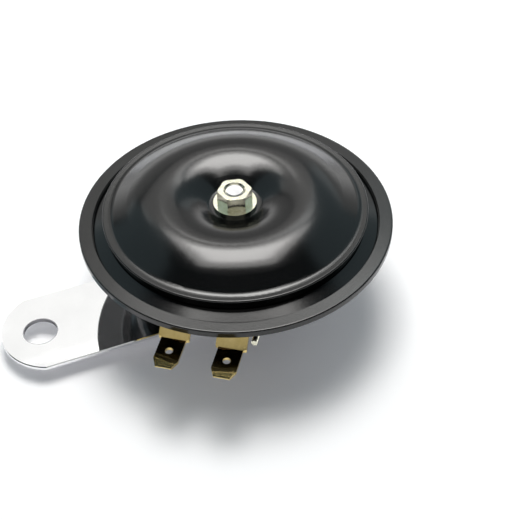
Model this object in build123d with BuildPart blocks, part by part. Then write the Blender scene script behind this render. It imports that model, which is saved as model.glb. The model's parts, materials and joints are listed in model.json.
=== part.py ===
from build123d import *
from math import asin, cos, degrees, radians, sin, sqrt, tan
import os

# Disc horn with a flat mounting strap. Millimetres and degrees.
# Origin: centre of the strap's mounting hole, on the strap's lower face.
# +X runs from the mounting hole to the horn's axis, +Z points the way the horn sounds.

# ---- driving dimensions ------------------------------------------------------------

# mounting strap
strap_thickness = 1.2
strap_width = 25.8
mount_hole_diameter = 9.0
hole_to_axis = 56.3
hole_end_margin = 10.4       # mounting hole centre to the strap's tip
hole_corner_setback = 1.6    # mounting hole centre to the corners of the tip
stud_end_margin = 14.5       # horn axis to the strap's other tip
stud_corner_setback = 6.0
strap_edge_break = 0.2

# drawn housing and its rolled rim
sheet = 0.8
rim_diameter = 83.0
rim_lap = 3.6                # width of the rolled-over edge
rim_bend = 0.4               # outside radius of its two corners
rim_edge_break = 0.15        # on its inner edge
flange_width = 7.0           # rim's edge to the mouth of the drum
horn_depth = 21.7            # rim's top face to the back of the coil case
drum_depth = 12.5            # rim's top face to the back of the wide drum
coil_case_radius = 18.2
coil_case_draft = 0.6
bend_radius = 1.0            # inside radius of the pressed bends
drum_corner_radius = 2.6
case_corner_radius = 2.2

# diaphragm stack
diaphragm_thickness = 0.25
diaphragm_slope = 20.0       # of the step inside the rim, in degrees
diaphragm_step = 3.4         # width of that step
diaphragm_land = 0.1         # rim's inner edge to the step
gasket_thickness = 0.15
gasket_width = 4.0
backing_washer_radius = 8.0
backing_washer_thickness = 0.8
rim_clearance = 0.3

# tone disc
tone_sheet = 1.0
tone_seat_rise = 4.2         # rim's top face to the disc's central seat
tone_seat_radius = 7.0
tone_inner_slope = 29.5      # seat to crest, in degrees
tone_outer_slope = 28.3      # crest to lip, in degrees
tone_lip_rise = 3.85         # rim's top face to the lip's outer edge
tone_lip_lift = 4.5          # lip's slope, rising outward, in degrees
tone_lip_inset = 6.4         # rim's edge to the lip's edge
tone_lip_width = 2.4
tone_skirt_gap = 0.6         # rim's top face to the skirt's lower edge
tone_skirt_inset = 0.9
tone_seat_bend = 2.0
tone_crest_bend = 19.0
tone_lip_bend = 2.6
tone_edge_bend = 0.4

# armature stud and its fasteners (M5)
stud_diameter = 5.0
hole_clearance = 0.15
fit_clearance = 0.05
spacer_wall = 3.2
front_washer_diameter = 11.4
front_washer_thickness = 1.0
front_nut_flats = 8.0
front_nut_height = 4.0
front_nut_turn = -13.7       # direction of one of its corners
nut_crown = 0.54             # radius of a nut's flat face, over its width across flats
nut_corner_cut = 0.02        # how far the crown's slope starts beyond the corners, over their radius
nut_bore_chamfer = 0.35
stud_chamfer = 0.45
stud_recess = 0.15           # front nut's top face to the end of the stud

# armature, pole core and coil
armature_radius = 6.2
armature_step = 1.2          # width of the shoulder that carries the pusher collar
core_height = 4.6
air_gap = 1.0
coil_clearance = 0.4
bobbin_wall = 0.7
bobbin_flange = 1.0
bobbin_fit = 0.2
winding_inset = 0.7          # bobbin flange's edge to the winding
cover_lap = 2.4              # coil case's wall to the cover plate's edge
cover_plate_thickness = 0.9

# rear stud (M6) and its fasteners
rear_stud_diameter = 6.0
rear_washer_diameter = 11.8
rear_washer_thickness = 0.8
washer_teeth = 10
washer_notch_depth = 0.9
washer_notch_width = 0.9
rear_nut_flats = 10.0
rear_nut_height = 3.2
rear_stud_recess = 0.2

# contact breaker, on the drum's floor
breaker_angle = 100.0
stack_setback = 3.0          # coil case's wall to the stack
stack_length = 5.6
stack_width = 10.0
stack_margin = 2.2           # stack to the drum's corner
lower_insulator_thickness = 1.6
leaf_thickness = 0.3
leaf_width = 6.4
leaf_reach = 3.2             # length of the leaf beyond the stack, under the arm
arm_thickness = 0.8
arm_width = 7.0
arm_gap = 0.5                # stack to the arm's root
arm_lap = 2.0                # length of the arm's tip under the collar
contact_radius = 1.8
contact_height = 0.8
contact_setback = 4.2        # collar to the contacts' centres
plate_thickness = 1.0
plate_margin = 0.4           # contact's edge to the plate's tip
upper_insulator_thickness = 0.6
clamp_thickness = 0.8
rivet_diameter = 2.0
rivet_pitch = 5.6
rivet_head_diameter = 3.4
rivet_head_height = 0.8
collar_radius = 10.4
collar_thickness = 1.5

# adjusting screw (M4) and its nut
adjuster_diameter = 4.0
adjuster_beside = 4.6        # stack's edge to the screw's centre line
adjuster_slot_width = 0.8
adjuster_slot_depth = 1.2
adjuster_length_out = 3.6
adjuster_nut_flats = 7.0
adjuster_nut_height = 2.2
ear_margin = 1.0

# terminals and their block
terminal_angle = 234.8
terminal_pitch = 14.6
terminal_shift = 1.4         # across, from the block's centre line to the pair's
terminal_sheet = 0.8
terminal_base_width = 7.9
terminal_tail = 1.9          # length of the terminal's tail inside the block
ramp_gap = 0.2               # block's face to the head of the 45 degree step
blade_step = 3.0             # height of the step
blade_length = 9.2
blade_width = 6.3
blade_neck = 0.3             # over which the strip narrows to the blade
blade_tip_width = 4.1
blade_tip_length = 2.3
blade_hole_diameter = 2.0
blade_hole_setback = 5.2
blade_bevel = 0.25
block_projection = 1.3       # drum's mouth to the block's face
block_gap = 0.3              # flange to the block
block_lap = 1.0              # block's face above and below its window
block_edge = 2.1             # rivet's centre to the block's end
block_tail = 2.6             # drum's floor corner to the block's inner face
window_margin = 0.25
window_height = 3.2
block_rivet_diameter = 1.6
block_rivet_projection = 2.4
block_rivet_head_diameter = 2.8
block_rivet_head_height = 0.6

# ---- levels and radii, worked out from the above ----------------------------------------

rim_thickness = 2 * sheet + diaphragm_thickness + gasket_thickness
rim_radius = rim_diameter / 2
rim_inner_radius = rim_radius - rim_lap
drum_mouth_radius = rim_radius - flange_width
clamp_radius = rim_radius - sheet - rim_clearance

back_level = strap_thickness
rim_level = back_level + horn_depth
drum_level = rim_level - drum_depth
case_floor = back_level + sheet
drum_floor = drum_level + sheet
diaphragm_top = rim_level - sheet
diaphragm_bottom = diaphragm_top - diaphragm_thickness
flange_bottom = rim_level - rim_thickness
flange_top = flange_bottom + sheet

centre_bottom = diaphragm_bottom + diaphragm_step * tan(radians(diaphragm_slope))
centre_top = centre_bottom + diaphragm_thickness
shoulder_level = centre_bottom - backing_washer_thickness
seat_level = rim_level + tone_seat_rise
tone_lip_radius = rim_radius - tone_lip_inset
inner_rate = tan(radians(tone_inner_slope))
outer_rate = tan(radians(tone_outer_slope))
tone_lip_foot = tone_lip_rise - tone_lip_width * tan(radians(tone_lip_lift))
lip_fall = tone_lip_foot - tone_seat_rise + (tone_lip_radius - tone_lip_width - tone_seat_radius) * outer_rate
tone_apex = lip_fall / (inner_rate + outer_rate)
washer_level = seat_level + front_washer_thickness
nut_top = washer_level + front_nut_height
stud_end = nut_top - stud_recess
stud_radius = stud_diameter / 2
bore_radius = stud_radius + hole_clearance

core_top = case_floor + core_height
armature_bottom = core_top + air_gap
armature_neck_radius = armature_radius - armature_step
bobbin_bore = armature_radius + coil_clearance
barrel_radius = bobbin_bore + bobbin_wall
bobbin_radius = coil_case_radius - coil_case_draft - sheet - bobbin_fit
rear_stud_radius = rear_stud_diameter / 2
rear_hole_radius = rear_stud_radius + hole_clearance
rear_washer_level = -rear_washer_thickness
rear_nut_level = rear_washer_level - rear_nut_height
rear_stud_end = rear_nut_level + rear_stud_recess

stack_inner_radius = coil_case_radius + stack_setback
stack_outer_radius = stack_inner_radius + stack_length
stack_middle = (stack_inner_radius + stack_outer_radius) / 2
drum_floor_radius = stack_outer_radius + stack_margin
leaf_bottom = drum_floor + lower_insulator_thickness
arm_bottom = leaf_bottom + leaf_thickness
arm_top = arm_bottom + arm_thickness
contacts_meet = arm_top + contact_height
plate_bottom = contacts_meet + contact_height
plate_top = plate_bottom + plate_thickness
clamp_bottom = plate_top + upper_insulator_thickness
clamp_top = clamp_bottom + clamp_thickness
contact_place = collar_radius + contact_setback
rivet_hole_radius = rivet_diameter / 2 + fit_clearance
adjuster_radius = adjuster_diameter / 2
adjuster_offset = stack_width / 2 + adjuster_beside
screw_end = drum_level - adjuster_length_out

block_radius = drum_mouth_radius + block_projection
block_inner_reach = drum_floor_radius - block_tail
block_top = flange_bottom - block_gap
block_height = window_height + 2 * block_lap
block_bottom = block_top - block_height
window_middle = block_top - block_height / 2
window_width = terminal_pitch + terminal_base_width + 2 * window_margin
block_rivet_offset = terminal_shift + window_width / 2 + block_rivet_diameter
block_half_span = degrees(asin((block_rivet_offset + block_edge) / block_radius))
tab_top = window_middle + terminal_sheet / 2
blade_top = tab_top - blade_step
ramp_head = block_radius + ramp_gap
ramp_foot = ramp_head + blade_step
blade_reach = ramp_foot + blade_length

horn_axis = Axis((hole_to_axis, 0, 0), (0, 0, 1))
section = Plane((hole_to_axis, 0, 0), x_dir=(1, 0, 0), z_dir=(0, -1, 0))


def level_plane(height, angle=0.0, across=0.0):
    """Horizontal plane on the horn's axis, or beside it, its x pointing out at the angle."""
    outward = Vector(cos(radians(angle)), sin(radians(angle)), 0)
    beside = Vector(-outward.Y, outward.X, 0) * across
    return Plane(Vector(hole_to_axis, 0, height) + beside, x_dir=outward, z_dir=(0, 0, 1))


def side_plane(angle, across=0.0):
    """Upright plane through the horn's axis, or beside it: x points out, y up."""
    base = level_plane(0, angle, across)
    return Plane(base.origin, x_dir=base.x_dir, z_dir=-base.y_dir)


def end_plane(angle, reach, height):
    """Upright plane that faces outward at a distance from the horn's axis."""
    base = level_plane(height, angle)
    return Plane(base.origin + base.x_dir * reach, x_dir=base.y_dir, z_dir=base.x_dir)


def disc(radius, bore, bottom, thickness):
    """Flat ring about the horn's axis."""
    with BuildPart() as ring:
        with BuildSketch(level_plane(bottom)):
            Circle(radius)
            Circle(bore, mode=Mode.SUBTRACT)
        extrude(amount=thickness)
    return ring


def hex_nut(flats, height, bore, bottom, turn=0.0):
    """Hexagon nut about the horn's axis, chamfered at 30 degrees on both faces."""
    crown_radius = flats * nut_crown
    reach = flats / sqrt(3) * (1 + nut_corner_cut)
    rise = (reach - crown_radius) * tan(radians(30))
    with BuildPart() as nut:
        with BuildSketch(level_plane(bottom, turn)):
            RegularPolygon(flats / 2, 6, major_radius=False)
        extrude(amount=height)
        with BuildSketch(section):
            with BuildLine():
                Polyline(
                    (0, bottom),
                    (crown_radius, bottom),
                    (reach, bottom + rise),
                    (reach, bottom + height - rise),
                    (crown_radius, bottom + height),
                    (0, bottom + height),
                    close=True,
                )
            make_face()
        revolve(axis=horn_axis, mode=Mode.INTERSECT)
        with BuildSketch(level_plane(bottom)):
            Circle(bore)
        extrude(amount=height, mode=Mode.SUBTRACT)
        rims = nut.edges().filter_by(GeomType.CIRCLE).filter_by(lambda e: abs(e.radius - bore) < 1e-6)
        chamfer(rims, nut_bore_chamfer)
    return nut


def finish(piece, name):
    """Label a finished piece and write its file."""
    piece.part.label = name
    export_step(piece.part, f"parts/{name}.step")


os.makedirs("parts", exist_ok=True)

# ---- mounting strap --------------------------------------------------------------------

with BuildPart() as mounting_strap:
    with BuildSketch():
        with BuildLine():
            half = strap_width / 2
            stud_corner = hole_to_axis + stud_corner_setback
            ThreePointArc(
                (-hole_corner_setback, half),
                (-hole_end_margin, 0),
                (-hole_corner_setback, -half),
            )
            Line((-hole_corner_setback, -half), (stud_corner, -half))
            ThreePointArc(
                (stud_corner, -half),
                (hole_to_axis + stud_end_margin, 0),
                (stud_corner, half),
            )
            Line((stud_corner, half), (-hole_corner_setback, half))
        make_face()
        Circle(mount_hole_diameter / 2, mode=Mode.SUBTRACT)
        with Locations((hole_to_axis, 0)):
            Circle(rear_hole_radius, mode=Mode.SUBTRACT)
    extrude(amount=strap_thickness)
    broad_faces = mounting_strap.faces().filter_by(Axis.Z)
    chamfer([face.outer_wire().edges() for face in broad_faces], strap_edge_break)
finish(mounting_strap, "mounting_strap")

# ---- housing: one sheet, drawn in two steps, its rim rolled over the diaphragm ---------

drum_slope = (drum_mouth_radius - drum_floor_radius) / (flange_bottom - drum_level)


def drum_radius(height):
    """Outer radius of the drum's tapered wall at a height."""
    return drum_floor_radius + (height - drum_level) * drum_slope


breaker_spots = [(stack_middle, -rivet_pitch / 2), (stack_middle, rivet_pitch / 2)]
nut_corner = adjuster_nut_flats / sqrt(3)
adjuster_reach = coil_case_radius + bend_radius + nut_corner + fit_clearance
adjuster_spot = (sqrt(adjuster_reach**2 - adjuster_offset**2), adjuster_offset)
rivet_head_radius = block_rivet_head_diameter / 2
wall_inside = drum_radius(window_middle - rivet_head_radius) - sheet - 2 * fit_clearance
rivet_chord = sqrt(wall_inside**2 - (block_rivet_offset + rivet_head_radius) ** 2)
rivet_reach = rivet_chord - block_rivet_head_height

with BuildPart() as housing:
    with BuildSketch(section):
        with BuildLine():
            FilletPolyline(
                (rim_inner_radius, rim_level),
                (rim_radius, rim_level),
                (rim_radius, flange_bottom),
                (drum_mouth_radius, flange_bottom),
                (drum_floor_radius, drum_level),
                (coil_case_radius, drum_level),
                (coil_case_radius - coil_case_draft, back_level),
                (rear_hole_radius, back_level),
                radius=[
                    rim_bend,
                    rim_bend,
                    bend_radius,
                    drum_corner_radius,
                    bend_radius,
                    case_corner_radius,
                ],
            )
            offset(amount=sheet, side=Side.RIGHT)
        make_face()
    revolve(axis=horn_axis)
    rim_face = housing.faces().filter_by(Axis.Z).sort_by(Axis.Z)[-1]
    chamfer(rim_face.inner_wires().edges(), rim_edge_break)
    with BuildSketch(level_plane(drum_level, breaker_angle)):
        with Locations(*breaker_spots):
            Circle(rivet_hole_radius)
        with Locations(adjuster_spot):
            Circle(adjuster_radius + fit_clearance)
    extrude(amount=sheet, mode=Mode.SUBTRACT)
    with BuildSketch(side_plane(terminal_angle, terminal_shift)):
        with Locations(((block_inner_reach + block_radius) / 2, window_middle)):
            Rectangle(block_radius - block_inner_reach, window_height + 2 * fit_clearance)
    extrude(amount=window_width / 2 + fit_clearance, both=True, mode=Mode.SUBTRACT)
    with BuildSketch(end_plane(terminal_angle, rivet_reach, window_middle)):
        with Locations((block_rivet_offset, 0)):
            Circle(block_rivet_diameter / 2 + fit_clearance)
    extrude(amount=block_radius - rivet_reach, mode=Mode.SUBTRACT)
finish(housing, "housing")

# ---- gasket, diaphragm and what is clamped at its centre --------------------------------

gasket = disc(clamp_radius, clamp_radius - gasket_width, flange_top, gasket_thickness)
finish(gasket, "diaphragm_gasket")

with BuildPart() as diaphragm:
    with BuildSketch(section):
        with BuildLine():
            step_foot = rim_inner_radius - diaphragm_land
            step_head = step_foot - diaphragm_step
            Polyline(
                (clamp_radius, diaphragm_top),
                (step_foot, diaphragm_top),
                (step_head, centre_top),
                (bore_radius, centre_top),
                (bore_radius, centre_bottom),
                (step_head, centre_bottom),
                (step_foot, diaphragm_bottom),
                (clamp_radius, diaphragm_bottom),
                close=True,
            )
        make_face()
    revolve(axis=horn_axis)
finish(diaphragm, "diaphragm")

backing_washer = disc(backing_washer_radius, bore_radius, shoulder_level, backing_washer_thickness)
finish(backing_washer, "backing_washer")

spacer_height = seat_level - tone_sheet - centre_top
tone_spacer = disc(bore_radius + spacer_wall, bore_radius, centre_top, spacer_height)
finish(tone_spacer, "tone_spacer")

# ---- tone disc: seat, crest ring, slope, raised lip and turned-down skirt -----------------

with BuildPart() as tone_disc:
    with BuildSketch(section):
        with BuildLine():
            FilletPolyline(
                (bore_radius, seat_level),
                (tone_seat_radius, seat_level),
                (tone_seat_radius + tone_apex, seat_level + tone_apex * inner_rate),
                (tone_lip_radius - tone_lip_width, rim_level + tone_lip_foot),
                (tone_lip_radius, rim_level + tone_lip_rise),
                (tone_lip_radius - tone_skirt_inset, rim_level + tone_skirt_gap),
                radius=[
                    tone_seat_bend,
                    tone_crest_bend,
                    tone_lip_bend,
                    tone_edge_bend,
                ],
            )
            offset(amount=tone_sheet, side=Side.RIGHT)
        make_face()
    revolve(axis=horn_axis)
finish(tone_disc, "tone_disc")

# ---- front washer, front nut and armature --------------------------------------------------

front_washer = disc(front_washer_diameter / 2, bore_radius, seat_level, front_washer_thickness)
finish(front_washer, "front_washer")

front_nut_bore = stud_radius + fit_clearance
front_nut = hex_nut(front_nut_flats, front_nut_height, front_nut_bore, washer_level, front_nut_turn)
finish(front_nut, "front_nut")

with BuildPart() as armature:
    with BuildSketch(section):
        with BuildLine():
            Polyline(
                (0, armature_bottom),
                (armature_radius, armature_bottom),
                (armature_radius, arm_top),
                (armature_neck_radius, arm_top),
                (armature_neck_radius, shoulder_level),
                (stud_radius, shoulder_level),
                (stud_radius, stud_end - stud_chamfer),
                (stud_radius - stud_chamfer, stud_end),
                (0, stud_end),
                close=True,
            )
        make_face()
    revolve(axis=horn_axis)
finish(armature, "armature")

pusher_collar = disc(collar_radius, armature_neck_radius + fit_clearance, arm_top, collar_thickness)
finish(pusher_collar, "pusher_collar")

# ---- pole core, coil and its cover plate ------------------------------------------------------

with BuildPart() as pole_core:
    with BuildSketch(section):
        with BuildLine():
            Polyline(
                (0, core_top),
                (armature_radius, core_top),
                (armature_radius, case_floor),
                (rear_stud_radius, case_floor),
                (rear_stud_radius, rear_stud_end + stud_chamfer),
                (rear_stud_radius - stud_chamfer, rear_stud_end),
                (0, rear_stud_end),
                close=True,
            )
        make_face()
    revolve(axis=horn_axis)
finish(pole_core, "pole_core")

bobbin_height = drum_floor - case_floor
with BuildPart() as coil_bobbin:
    with BuildSketch(level_plane(case_floor)):
        Circle(bobbin_radius - case_corner_radius + sheet)
        Circle(bobbin_bore, mode=Mode.SUBTRACT)
    extrude(amount=bobbin_flange)
    with BuildSketch(level_plane(case_floor)):
        Circle(barrel_radius)
        Circle(bobbin_bore, mode=Mode.SUBTRACT)
    extrude(amount=bobbin_height)
    with BuildSketch(level_plane(drum_floor - bobbin_flange)):
        Circle(bobbin_radius)
        Circle(bobbin_bore, mode=Mode.SUBTRACT)
    extrude(amount=bobbin_flange)
finish(coil_bobbin, "coil_bobbin")

winding_height = bobbin_height - 2 * bobbin_flange
winding_radius = bobbin_radius - winding_inset
winding_bore = barrel_radius + fit_clearance
coil_winding = disc(winding_radius, winding_bore, case_floor + bobbin_flange, winding_height)
finish(coil_winding, "coil_winding")

cover_plate = disc(coil_case_radius + cover_lap, bobbin_bore, drum_floor, cover_plate_thickness)
finish(cover_plate, "coil_cover_plate")

# ---- contact breaker -----------------------------------------------------------------------------


def stack_layer(name, bottom, thickness):
    """One layer of the riveted stack, with its two rivet holes."""
    with BuildPart() as layer:
        with BuildSketch(level_plane(bottom, breaker_angle)):
            with Locations((stack_middle, 0)):
                Rectangle(stack_length, stack_width)
            with Locations(*breaker_spots):
                Circle(rivet_hole_radius, mode=Mode.SUBTRACT)
        extrude(amount=thickness)
    finish(layer, name)


stack_layer("lower_insulator", drum_floor, lower_insulator_thickness)
stack_layer("contact_insulator", arm_bottom, plate_bottom - arm_bottom)
stack_layer("upper_insulator", plate_top, upper_insulator_thickness)
stack_layer("clamp_plate", clamp_bottom, clamp_thickness)

with BuildPart() as breaker_leaf:
    with BuildSketch(level_plane(leaf_bottom, breaker_angle)):
        with Locations((stack_middle, 0)):
            Rectangle(stack_length, stack_width)
        with Locations((stack_inner_radius - leaf_reach / 2, 0)):
            Rectangle(leaf_reach, leaf_width)
        with Locations(*breaker_spots):
            Circle(rivet_hole_radius, mode=Mode.SUBTRACT)
    extrude(amount=leaf_thickness)
finish(breaker_leaf, "breaker_leaf")

arm_root = stack_inner_radius - arm_gap
arm_tip = collar_radius - arm_lap
with BuildPart() as breaker_arm:
    with BuildSketch(level_plane(arm_bottom, breaker_angle)):
        with BuildLine():
            Polyline(
                (arm_root, -arm_width / 2),
                (arm_root, arm_width / 2),
                (contact_place, arm_width / 2),
                (arm_tip, arm_width / 3),
                (arm_tip, -arm_width / 3),
                (contact_place, -arm_width / 2),
                close=True,
            )
        make_face()
    extrude(amount=arm_thickness)
finish(breaker_arm, "breaker_arm")


def contact(name, bottom):
    """Round contact button on the breaker's centre line."""
    with BuildPart() as button:
        with BuildSketch(level_plane(bottom, breaker_angle)):
            with Locations((contact_place, 0)):
                Circle(contact_radius)
        extrude(amount=contact_height)
    finish(button, name)


contact("moving_contact", arm_top)
contact("fixed_contact", contacts_meet)

plate_tip = contact_place - contact_radius - plate_margin
ear_radius = adjuster_radius + ear_margin
with BuildPart() as contact_plate:
    with BuildSketch(level_plane(plate_bottom, breaker_angle)):
        with Locations(((plate_tip + stack_outer_radius) / 2, 0)):
            Rectangle(stack_outer_radius - plate_tip, stack_width)
        with Locations((adjuster_spot[0], adjuster_offset / 2)):
            Rectangle(2 * ear_radius, adjuster_offset)
        with Locations(adjuster_spot):
            Circle(ear_radius)
        with Locations(*breaker_spots):
            Circle(rivet_hole_radius, mode=Mode.SUBTRACT)
    extrude(amount=plate_thickness)
finish(contact_plate, "contact_plate")

with BuildPart() as breaker_rivets:
    with BuildSketch(level_plane(drum_level, breaker_angle)):
        with Locations(*breaker_spots):
            Circle(rivet_diameter / 2)
    extrude(amount=clamp_top - drum_level)
    outer_heads = level_plane(drum_level - rivet_head_height, breaker_angle)
    inner_heads = level_plane(clamp_top, breaker_angle)
    with BuildSketch(outer_heads, inner_heads):
        with Locations(*breaker_spots):
            Circle(rivet_head_diameter / 2)
    extrude(amount=rivet_head_height)
finish(breaker_rivets, "breaker_rivets")

# ---- adjusting screw and its nut --------------------------------------------------------------------

with BuildPart() as adjusting_screw:
    with BuildSketch(level_plane(screw_end, breaker_angle)):
        with Locations(adjuster_spot):
            Circle(adjuster_radius)
    extrude(amount=plate_bottom - screw_end)
    with BuildSketch(level_plane(screw_end, breaker_angle)):
        with Locations(adjuster_spot):
            Rectangle(2 * adjuster_diameter, adjuster_slot_width)
    extrude(amount=adjuster_slot_depth, mode=Mode.SUBTRACT)
finish(adjusting_screw, "adjusting_screw")

with BuildPart() as adjusting_nut:
    with BuildSketch(level_plane(drum_level - adjuster_nut_height, breaker_angle)):
        with Locations(adjuster_spot):
            RegularPolygon(adjuster_nut_flats / 2, 6, major_radius=False)
            Circle(adjuster_radius + fit_clearance, mode=Mode.SUBTRACT)
    extrude(amount=adjuster_nut_height)
finish(adjusting_nut, "adjusting_nut")

# ---- terminals ------------------------------------------------------------------------------------------

terminal_offsets = (terminal_shift - terminal_pitch / 2, terminal_shift + terminal_pitch / 2)
terminal_tail_reach = block_inner_reach - terminal_tail


def terminal(name, across):
    """Brass terminal: a strip through the block, a 45 degree step and a tapered blade."""
    with BuildPart() as strip:
        with BuildSketch(side_plane(terminal_angle, across)):
            with BuildLine():
                Polyline(
                    (terminal_tail_reach, tab_top),
                    (ramp_head, tab_top),
                    (ramp_foot, blade_top),
                    (blade_reach, blade_top),
                )
                offset(amount=terminal_sheet, side=Side.RIGHT)
            make_face()
        extrude(amount=terminal_base_width / 2, both=True)
        with BuildSketch(level_plane(blade_top - 2 * terminal_sheet, terminal_angle, across)):
            with BuildLine():
                half_outline = Polyline(
                    (terminal_tail_reach, 0),
                    (terminal_tail_reach, terminal_base_width / 2),
                    (ramp_foot - blade_neck, terminal_base_width / 2),
                    (ramp_foot, blade_width / 2),
                    (blade_reach - blade_tip_length, blade_width / 2),
                    (blade_reach, blade_tip_width / 2),
                    (blade_reach, 0),
                )
                mirror(half_outline, about=Plane.XZ)
            make_face()
            with Locations((blade_reach - blade_hole_setback, 0)):
                Circle(blade_hole_diameter / 2, mode=Mode.SUBTRACT)
        extrude(amount=tab_top - blade_top + 3 * terminal_sheet, mode=Mode.INTERSECT)
        outward = Axis(level_plane(0).origin, level_plane(0, terminal_angle).x_dir)
        tip_edges = strip.faces().sort_by(outward)[-1].edges().sort_by(SortBy.LENGTH)
        chamfer(tip_edges[-2:], blade_bevel)
    finish(strip, name)


terminal("terminal_left", terminal_offsets[0])
terminal("terminal_right", terminal_offsets[1])

with BuildPart() as terminal_block:
    with BuildSketch(level_plane(block_bottom, terminal_angle)):
        with BuildLine():
            outer = CenterArc((0, 0), block_radius, -block_half_span, 2 * block_half_span)
            inner = CenterArc((0, 0), drum_floor_radius, -block_half_span, 2 * block_half_span)
            Line(inner @ 0, outer @ 0)
            Line(inner @ 1, outer @ 1)
        make_face()
    extrude(amount=block_height)
    with BuildSketch(section):
        with BuildLine():
            Polyline(
                (0, block_bottom - sheet),
                (drum_radius(block_bottom - sheet) + rim_clearance, block_bottom - sheet),
                (drum_radius(block_top + sheet) + rim_clearance, block_top + sheet),
                (0, block_top + sheet),
                close=True,
            )
        make_face()
    revolve(axis=horn_axis, mode=Mode.SUBTRACT)
    with BuildSketch(side_plane(terminal_angle, terminal_shift)):
        with Locations(((block_inner_reach + drum_mouth_radius) / 2, window_middle)):
            Rectangle(drum_mouth_radius - block_inner_reach, window_height)
    extrude(amount=window_width / 2, both=True)
    slot_height = terminal_sheet + 2 * fit_clearance
    for across in terminal_offsets:
        with BuildSketch(side_plane(terminal_angle, across)):
            with Locations(((terminal_tail_reach + ramp_head) / 2, window_middle)):
                Rectangle(ramp_head - terminal_tail_reach, slot_height)
        extrude(amount=terminal_base_width / 2 + fit_clearance, both=True, mode=Mode.SUBTRACT)
    with BuildSketch(end_plane(terminal_angle, rivet_reach, window_middle)):
        with Locations((block_rivet_offset, 0)):
            Circle(block_rivet_diameter / 2 + fit_clearance)
    extrude(amount=block_radius - rivet_reach, mode=Mode.SUBTRACT)
finish(terminal_block, "terminal_block")

with BuildPart() as block_rivet:
    with BuildSketch(end_plane(terminal_angle, rivet_reach, window_middle)):
        with Locations((block_rivet_offset, 0)):
            Circle(block_rivet_diameter / 2)
    extrude(amount=block_radius + block_rivet_projection - rivet_reach)
    with BuildSketch(end_plane(terminal_angle, rivet_reach, window_middle)):
        with Locations((block_rivet_offset, 0)):
            Circle(rivet_head_radius)
    extrude(amount=block_rivet_head_height)
finish(block_rivet, "block_rivet")

# ---- rear fasteners ----------------------------------------------------------------------------------------

with BuildPart() as rear_washer:
    with BuildSketch(level_plane(rear_washer_level)):
        Circle(rear_washer_diameter / 2)
        Circle(rear_hole_radius, mode=Mode.SUBTRACT)
        with PolarLocations(rear_washer_diameter / 2, washer_teeth):
            Rectangle(2 * washer_notch_depth, washer_notch_width, mode=Mode.SUBTRACT)
    extrude(amount=rear_washer_thickness)
finish(rear_washer, "rear_washer")

rear_nut = hex_nut(rear_nut_flats, rear_nut_height, rear_stud_radius + fit_clearance, rear_nut_level)
finish(rear_nut, "rear_nut")
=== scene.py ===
import json
import math

import bpy
from mathutils import Matrix, Vector


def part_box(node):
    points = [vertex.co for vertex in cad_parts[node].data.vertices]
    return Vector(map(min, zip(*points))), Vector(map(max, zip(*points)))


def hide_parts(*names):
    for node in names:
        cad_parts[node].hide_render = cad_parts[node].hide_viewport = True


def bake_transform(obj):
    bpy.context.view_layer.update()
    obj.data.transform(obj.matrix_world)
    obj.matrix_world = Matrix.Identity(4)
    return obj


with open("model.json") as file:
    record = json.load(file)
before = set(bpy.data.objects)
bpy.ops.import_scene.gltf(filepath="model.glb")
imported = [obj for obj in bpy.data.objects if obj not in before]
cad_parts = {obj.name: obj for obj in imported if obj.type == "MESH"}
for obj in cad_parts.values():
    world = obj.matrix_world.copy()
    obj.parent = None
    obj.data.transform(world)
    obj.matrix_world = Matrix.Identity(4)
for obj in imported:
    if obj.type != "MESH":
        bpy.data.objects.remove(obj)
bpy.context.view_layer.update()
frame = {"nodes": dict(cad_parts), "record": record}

# ---- where things are, from the frame ----------------------------------------------------------

housing_low, housing_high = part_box("housing")
HORN_X = (housing_low.x + housing_high.x) / 2
RIM_TOP = housing_high.z
STRAP_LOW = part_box("mounting_strap")[0]
NUT_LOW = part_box("rear_nut")[0]

# ---- camera: the photograph's viewing angle ----------------------------------------------------

IMAGE_SIZE = 520
FOCAL_PIXELS = 1150.0
VIEW_AZIMUTH = math.radians(-20.2)
VIEW_ELEVATION = math.radians(44.56)
VIEW_ROLL = math.radians(-1.712)
# from the centre of the rim's top face to the camera, in metres: away, to the right and up
VIEW_DISTANCE = 0.30465
VIEW_ACROSS = 0.006445
VIEW_UP = -0.011697
SENSOR_MM = 36.0
CLIP_START = 0.01


def make_camera():
    """The photograph's camera, aimed past the centre of the rim's top face."""
    front = Vector((math.sin(VIEW_AZIMUTH), -math.cos(VIEW_AZIMUTH), 0))
    back = front * math.cos(VIEW_ELEVATION) + Vector((0, 0, math.sin(VIEW_ELEVATION)))
    level = Vector((math.cos(VIEW_AZIMUTH), math.sin(VIEW_AZIMUTH), 0))
    lift = back.cross(level)
    right = math.cos(VIEW_ROLL) * level + math.sin(VIEW_ROLL) * lift
    up = -math.sin(VIEW_ROLL) * level + math.cos(VIEW_ROLL) * lift
    aim = Vector((HORN_X, 0, RIM_TOP))
    place = aim + back * VIEW_DISTANCE + right * VIEW_ACROSS + up * VIEW_UP
    data = bpy.data.cameras.new("camera")
    data.sensor_width = SENSOR_MM
    data.lens = FOCAL_PIXELS / IMAGE_SIZE * SENSOR_MM
    data.clip_start = CLIP_START
    camera = bpy.data.objects.new("camera", data)
    turn = Matrix((right, up, back)).transposed().to_4x4()
    camera.matrix_world = Matrix.Translation(place) @ turn
    bpy.context.scene.collection.objects.link(camera)
    bpy.context.scene.camera = camera


# ---- shader helpers ----------------------------------------------------------------------------

# most of a noise texture's values lie between these
NOISE_LOW = 0.3
NOISE_HIGH = 0.7


def math_node(tree, operation, first, second):
    """A Math node of two values, each a socket or a number."""
    made = tree.nodes.new("ShaderNodeMath")
    made.operation = operation
    for socket, value in zip(made.inputs, (first, second)):
        if isinstance(value, (int, float)):
            socket.default_value = value
        else:
            tree.links.new(value, socket)
    return made.outputs[0]


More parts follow.
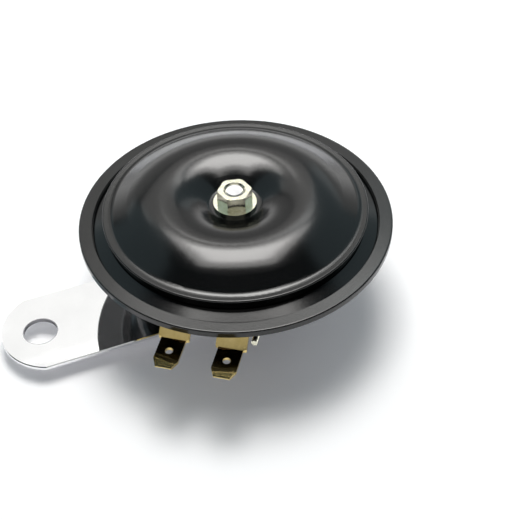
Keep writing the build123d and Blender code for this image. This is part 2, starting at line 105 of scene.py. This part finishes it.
def map_range(tree, value, low, high, start, end):
    """A value carried from start..end to low..high."""
    made = tree.nodes.new("ShaderNodeMapRange")
    ranges = (("From Min", start), ("From Max", end), ("To Min", low), ("To Max", high))
    for key, number in ranges:
        made.inputs[key].default_value = number
    tree.links.new(value, made.inputs["Value"])
    return made.outputs["Result"]


class Shader:
    """A material's node tree, with short calls for the nodes that the finishes share."""

    def __init__(self, name, **sockets):
        self.material = bpy.data.materials.new(name)
        self.material.use_nodes = True
        self.tree = self.material.node_tree
        self.tree.nodes.clear()
        output = self.node("ShaderNodeOutputMaterial")
        self.surface = self.node("ShaderNodeBsdfPrincipled", **sockets)
        self.link(self.surface.outputs[0], output.inputs["Surface"])
        self.place = self.node("ShaderNodeTexCoord").outputs["Object"]

    def node(self, kind, **sockets):
        """A new node; a socket's name has _ for each space."""
        made = self.tree.nodes.new(kind)
        for key, value in sockets.items():
            made.inputs[key.replace("_", " ")].default_value = value
        return made

    def link(self, start, end):
        self.tree.links.new(start, end)

    def stretched(self, scale):
        """Object coordinates stretched along each axis."""
        mapping = self.node("ShaderNodeMapping")
        mapping.inputs["Scale"].default_value = scale
        self.link(self.place, mapping.inputs["Vector"])
        return mapping.outputs["Vector"]

    def length(self, vector):
        """How long a vector is."""
        made = self.node("ShaderNodeVectorMath")
        made.operation = "LENGTH"
        self.link(vector, made.inputs[0])
        return made.outputs["Value"]

    def noise(self, scale, detail, vector=None):
        """Noise of a scale per metre, over the object's coordinates or another vector."""
        made = self.node("ShaderNodeTexNoise", Scale=scale, Detail=detail)
        self.link(vector or self.place, made.inputs["Vector"])
        return made.outputs["Fac"]

    def spread(self, value, low, high, start=NOISE_LOW, end=NOISE_HIGH):
        """A value carried from start..end to low..high."""
        return map_range(self.tree, value, low, high, start, end)

    def colours(self, value, low, high, start=NOISE_LOW, end=NOISE_HIGH):
        """A colour between two, by a value."""
        ramp = self.node("ShaderNodeValToRGB")
        ramp.color_ramp.elements[0].position = start
        ramp.color_ramp.elements[1].position = end
        ramp.color_ramp.elements[0].color = (*low, 1)
        ramp.color_ramp.elements[1].color = (*high, 1)
        self.link(value, ramp.inputs["Fac"])
        return ramp.outputs["Color"]

    def bump(self, height, distance, strength, under=None):
        """A relief whose height is distance, in metres, on the surface or on another relief."""
        made = self.node("ShaderNodeBump", Distance=distance, Strength=strength)
        self.link(height, made.inputs["Height"])
        if under is not None:
            self.link(under, made.inputs["Normal"])
        return made.outputs["Normal"]

    def drive(self, socket, value):
        """Link a value to one of the surface's sockets."""
        self.link(value, self.surface.inputs[socket])


# ---- finishes ----------------------------------------------------------------------------------

# The axis of the strap's hole is the frame's own Z axis. Within PUNCHED_WALL of it lie the hole's
# wall and its edge, duller and painted dark as shade, and over PUNCHED_FADE more the polish comes
# back, both in metres.
PUNCHED_WALL = 0.00463
PUNCHED_FADE = 0.00008
# painted shade: the colour of the hole's wall, dark for the shade inside the hole
PUNCHED_WALL_SHADE = (0.2, 0.2, 0.21, 1)
PUNCHED_DULLNESS = 0.3


def black_paint():
    """Satin black enamel: faint orange peel, dust and slight wear in the gloss."""
    s = Shader("black_paint", IOR=1.5)
    peel = s.noise(900, 2)
    specks = s.noise(5200, 3)
    patches = s.noise(60, 4)
    dust = s.colours(specks, (0.001, 0.0012, 0.0013), (0.004, 0.004, 0.0045), 0.5, 0.85)
    s.drive("Roughness", s.spread(patches, 0.15, 0.19))
    s.drive("Base Color", dust)
    s.drive("Normal", s.bump(specks, 6e-6, 0.5, s.bump(peel, 12e-6, 0.6)))
    return s.material


def mirror_stainless():
    """Bright stainless strip: fine scratches along it, and in its punched hole a dull wall
    darkened with painted shade.
    """
    s = Shader("mirror_stainless", Metallic=1.0)
    lines = s.noise(1.0, 3, s.stretched((300, 9000, 300)))
    cloud = s.noise(90, 3)
    polish = s.colours(cloud, (0.86, 0.86, 0.87), (0.92, 0.92, 0.93))
    from_axis = s.length(s.stretched((1, 1, 0)))
    # mask of the hole's wall: it makes the wall duller and carries the painted shade
    wall = s.spread(from_axis, 1.0, 0.0, PUNCHED_WALL, PUNCHED_WALL + PUNCHED_FADE)
    mix = s.node("ShaderNodeMixRGB", Color2=PUNCHED_WALL_SHADE)
    s.link(wall, mix.inputs["Fac"])
    s.link(polish, mix.inputs["Color1"])
    s.drive("Base Color", mix.outputs["Color"])
    gloss = s.spread(lines, 0.025, 0.06, 0.35, 0.75)
    dull = math_node(s.tree, "MULTIPLY", wall, PUNCHED_DULLNESS)
    s.drive("Roughness", math_node(s.tree, "ADD", gloss, dull))
    s.drive("Normal", s.bump(lines, 0.5e-6, 0.3))
    return s.material


def zinc_plate():
    """Pale, faintly yellow-green zinc plating."""
    s = Shader("zinc_plate", Metallic=1.0)
    cloud = s.noise(500, 4)
    fine = s.noise(4500, 2)
    s.drive("Base Color", s.colours(cloud, (0.74, 0.72, 0.54), (0.87, 0.85, 0.73), end=0.75))
    s.drive("Roughness", s.spread(fine, 0.12, 0.2))
    s.drive("Normal", s.bump(fine, 4e-6, 0.5))
    return s.material


def bare_steel():
    """Turned and rolled steel with a thin film of oil."""
    s = Shader("bare_steel", Metallic=1.0)
    cloud = s.noise(220, 4)
    fine = s.noise(3000, 3)
    s.drive("Base Color", s.colours(cloud, (0.42, 0.42, 0.43), (0.6, 0.6, 0.6)))
    s.drive("Roughness", s.spread(fine, 0.28, 0.42))
    s.drive("Normal", s.bump(fine, 3e-6, 0.5))
    return s.material


def terminal_brass():
    """Rolled brass strip, a little tarnished."""
    s = Shader("terminal_brass", Metallic=1.0)
    cloud = s.noise(260, 4)
    lines = s.noise(1.0, 3, s.stretched((3000, 3000, 600)))
    s.drive("Base Color", s.colours(cloud, (0.60, 0.46, 0.17), (0.74, 0.58, 0.26)))
    s.drive("Roughness", s.spread(lines, 0.03, 0.06))
    s.drive("Normal", s.bump(lines, 0.4e-6, 0.3))
    return s.material


def plastic(name, low, high, roughness):
    """Moulded plastic or pressed paper with a fine grain, between two colours."""
    s = Shader(name)
    grain = s.noise(2600, 2)
    cloud = s.noise(180, 3)
    s.drive("Base Color", s.colours(cloud, low, high))
    s.drive("Roughness", s.spread(grain, roughness - 0.06, roughness + 0.08))
    s.drive("Normal", s.bump(grain, 20e-6, 0.5))
    return s.material


def copper_winding():
    """Enamelled copper wire in layers of turns about the horn's axis."""
    s = Shader("copper_winding", Metallic=0.8, Roughness=0.3)
    wave = s.node("ShaderNodeTexWave", Scale=1900.0)
    wave.bands_direction = "Z"
    s.link(s.place, wave.inputs["Vector"])
    turns = wave.outputs["Fac"]
    s.drive("Base Color", s.colours(turns, (0.25, 0.09, 0.03), (0.66, 0.3, 0.13), 0.0, 1.0))
    s.drive("Normal", s.bump(turns, 60e-6, 0.8))
    return s.material


def contact_metal():
    """Ground tungsten."""
    s = Shader("contact_metal", Metallic=1.0)
    fine = s.noise(5000, 3)
    s.drive("Base Color", s.colours(fine, (0.5, 0.5, 0.52), (0.72, 0.72, 0.74)))
    s.drive("Roughness", s.spread(fine, 0.25, 0.45))
    s.drive("Normal", s.bump(fine, 5e-6, 0.6))
    return s.material


FINISHES = {
    "black_paint": black_paint(),
    "mirror_stainless": mirror_stainless(),
    "zinc_plate": zinc_plate(),
    "bare_steel": bare_steel(),
    "terminal_brass": terminal_brass(),
    "phenolic": plastic("phenolic", (0.05, 0.03, 0.02), (0.075, 0.045, 0.03), 0.45),
    "bobbin_plastic": plastic("bobbin_plastic", (0.7, 0.67, 0.57), (0.78, 0.75, 0.66), 0.5),
    "copper_winding": copper_winding(),
    "contact_metal": contact_metal(),
    "gasket_paper": plastic("gasket_paper", (0.36, 0.28, 0.19), (0.46, 0.37, 0.27), 0.75),
}
SLOTS = {part["node"]: part["material_slot"] for part in frame["record"]["subparts"]}


def dress_nodes():
    """Every CAD node gets its slot's finish."""
    for name, node in frame["nodes"].items():
        node.data.materials.clear()
        node.data.materials.append(FINISHES[SLOTS[name]])


# ---- the diaphragm, as a copy of its CAD node --------------------------------------------------


def make_diaphragm():
    """The spring-steel diaphragm, as a still copy of its CAD node, which is hidden."""
    sheet = bpy.data.objects.new("flexing_diaphragm", frame["nodes"]["diaphragm"].data.copy())
    bpy.context.scene.collection.objects.link(sheet)
    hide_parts("diaphragm")
    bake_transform(sheet)


# ---- floor -------------------------------------------------------------------------------------

FLOOR_REACH = 1.5
TIP_CLEARANCE = 0.0035
FLOOR_COLOUR = (0.86, 0.86, 0.87, 1)
# the floor's glow, and the metres from the strap's hole over which it rises to white
FLOOR_GLOW = 0.14
GLOW_START = 0.2
GLOW_END = 0.6
GLOW_TINT = (0.95, 0.96, 1.03, 1)


def reflected_rays(tree):
    """1 for a ray that a glossy or clear surface sends on."""
    path = tree.nodes.new("ShaderNodeLightPath").outputs
    return math_node(tree, "MAXIMUM", path["Is Glossy Ray"], path["Is Transmission Ray"])


def camera_rays(tree):
    """1 for a ray from the camera."""
    return tree.nodes.new("ShaderNodeLightPath").outputs["Is Camera Ray"]


def floor_material():
    """Pale floor that keeps the object's shadow and turns white away from it."""
    s = Shader("floor", Roughness=0.9, Base_Color=FLOOR_COLOUR, Specular_IOR_Level=0.1)
    s.surface.inputs["Emission Color"].default_value = GLOW_TINT
    glow = s.spread(s.length(s.place), FLOOR_GLOW, 1.0, GLOW_START, GLOW_END)
    seen = math_node(s.tree, "MAXIMUM", camera_rays(s.tree), reflected_rays(s.tree))
    s.drive("Emission Strength", math_node(s.tree, "MULTIPLY", seen, glow))
    return s.material


def make_floor():
    """Plain floor that the rear nut stands on, just clear of the strap's tip."""
    tip = Vector((STRAP_LOW.x, 0, STRAP_LOW.z - TIP_CLEARANCE))
    foot = Vector((NUT_LOW.x, 0, NUT_LOW.z))
    slope = (tip.z - foot.z) / (tip.x - foot.x)
    corners = []
    for side_x, side_y in ((-1, -1), (1, -1), (1, 1), (-1, 1)):
        x = side_x * FLOOR_REACH
        corners.append((foot.x + x, side_y * FLOOR_REACH, foot.z + slope * x))
    mesh = bpy.data.meshes.new("floor")
    mesh.from_pydata(corners, [], [(0, 1, 2, 3)])
    mesh.materials.append(floor_material())
    floor = bpy.data.objects.new("floor", mesh)
    bpy.context.scene.collection.objects.link(floor)


# ---- light and background ----------------------------------------------------------------------

WARM = (1.0, 0.99, 0.965)
COOL = (0.72, 0.93, 1.0)
# name, degrees right of straight behind the object, degrees up, distance, width and height in
# metres, how bright it looks, and tint
LAMPS = (
    ("key", 0, 70, 1.0, 0.42, 0.40, 8.0, WARM),
    ("halo", 0, 71.75, 1.01, 0.64, 0.67, 4.8, WARM),
    ("band", 4, 48.1, 1.3, 0.46, 0.08, 4.6, WARM),
    ("scrim", -11.5, 42.2, 1.3, 0.84, 0.3, 1.02, WARM),
    ("corner", -17, 50.6, 1.3, 0.16, 0.1, 1.02, WARM),
    ("wall", 0, 20, 1.6, 3.0, 0.8, 0.55, WARM),
    ("side_left", -62, 42, 1.3, 1.1, 0.8, 0.45, COOL),
    ("side_right", 48, 42, 1.3, 1.4, 0.8, 0.45, COOL),
    ("fill", 180, 53.3, 1.2, 1.6, 0.48, 0.45, WARM),
)
ROOM_RADIANCE = 0.05
# heights on the world's sphere: white up to the first, the dim room from the second
WALL_TOP = math.sin(math.radians(8))
WALL_FADE = math.sin(math.radians(18))


def seen_from(azimuth, elevation):
    """Direction from the object to a lamp; azimuth 0 is straight behind it, + to the right."""
    turn = VIEW_AZIMUTH + math.pi / 2 - math.radians(azimuth)
    height = math.radians(elevation)
    level = Vector((math.cos(turn), math.sin(turn), 0))
    return level * math.cos(height) + Vector((0, 0, math.sin(height)))


def softbox(name, azimuth, elevation, distance, width, height, radiance, tint):
    """A square-edged area lamp that faces the object, set by how bright it looks."""
    toward = seen_from(azimuth, elevation)
    data = bpy.data.lights.new(name, "AREA")
    data.shape = "RECTANGLE"
    data.size = width
    data.size_y = height
    data.energy = radiance * math.pi * width * height
    data.color = tint
    lamp = bpy.data.objects.new(name, data)
    lamp.rotation_euler = toward.to_track_quat("Z", "Y").to_euler()
    lamp.location = Vector((HORN_X, 0, 0)) + toward * distance
    bpy.context.scene.collection.objects.link(lamp)


def make_light():
    """High softbox with a dimmer surround, band, scrim and wall behind, sides and a fill."""
    for lamp in LAMPS:
        softbox(*lamp)


def make_world():
    """A dim room; the camera sees white all round, and reflections a low white wall."""
    world = bpy.data.worlds.new("world")
    world.use_nodes = True
    tree = world.node_tree
    tree.nodes.clear()
    height = tree.nodes.new("ShaderNodeSeparateXYZ")
    direction = tree.nodes.new("ShaderNodeTexCoord").outputs["Generated"]
    tree.links.new(direction, height.inputs[0])
    wall = map_range(tree, height.outputs["Z"], 1.0, 0.0, WALL_TOP, WALL_FADE)
    reflected = math_node(tree, "MULTIPLY", reflected_rays(tree), wall)
    seen = math_node(tree, "MAXIMUM", camera_rays(tree), reflected)
    room = tree.nodes.new("ShaderNodeBackground")
    room.inputs["Color"].default_value = (*COOL, 1)
    room.inputs["Strength"].default_value = ROOM_RADIANCE
    white = tree.nodes.new("ShaderNodeBackground")
    white.inputs["Color"].default_value = (1, 1, 1, 1)
    mix = tree.nodes.new("ShaderNodeMixShader")
    tree.links.new(seen, mix.inputs["Fac"])
    tree.links.new(room.outputs[0], mix.inputs[1])
    tree.links.new(white.outputs[0], mix.inputs[2])
    output = tree.nodes.new("ShaderNodeOutputWorld")
    tree.links.new(mix.outputs[0], output.inputs["Surface"])
    bpy.context.scene.world = world


make_camera()
dress_nodes()
make_diaphragm()
make_floor()
make_light()
make_world()
bpy.context.scene.view_settings.view_transform = "Standard"
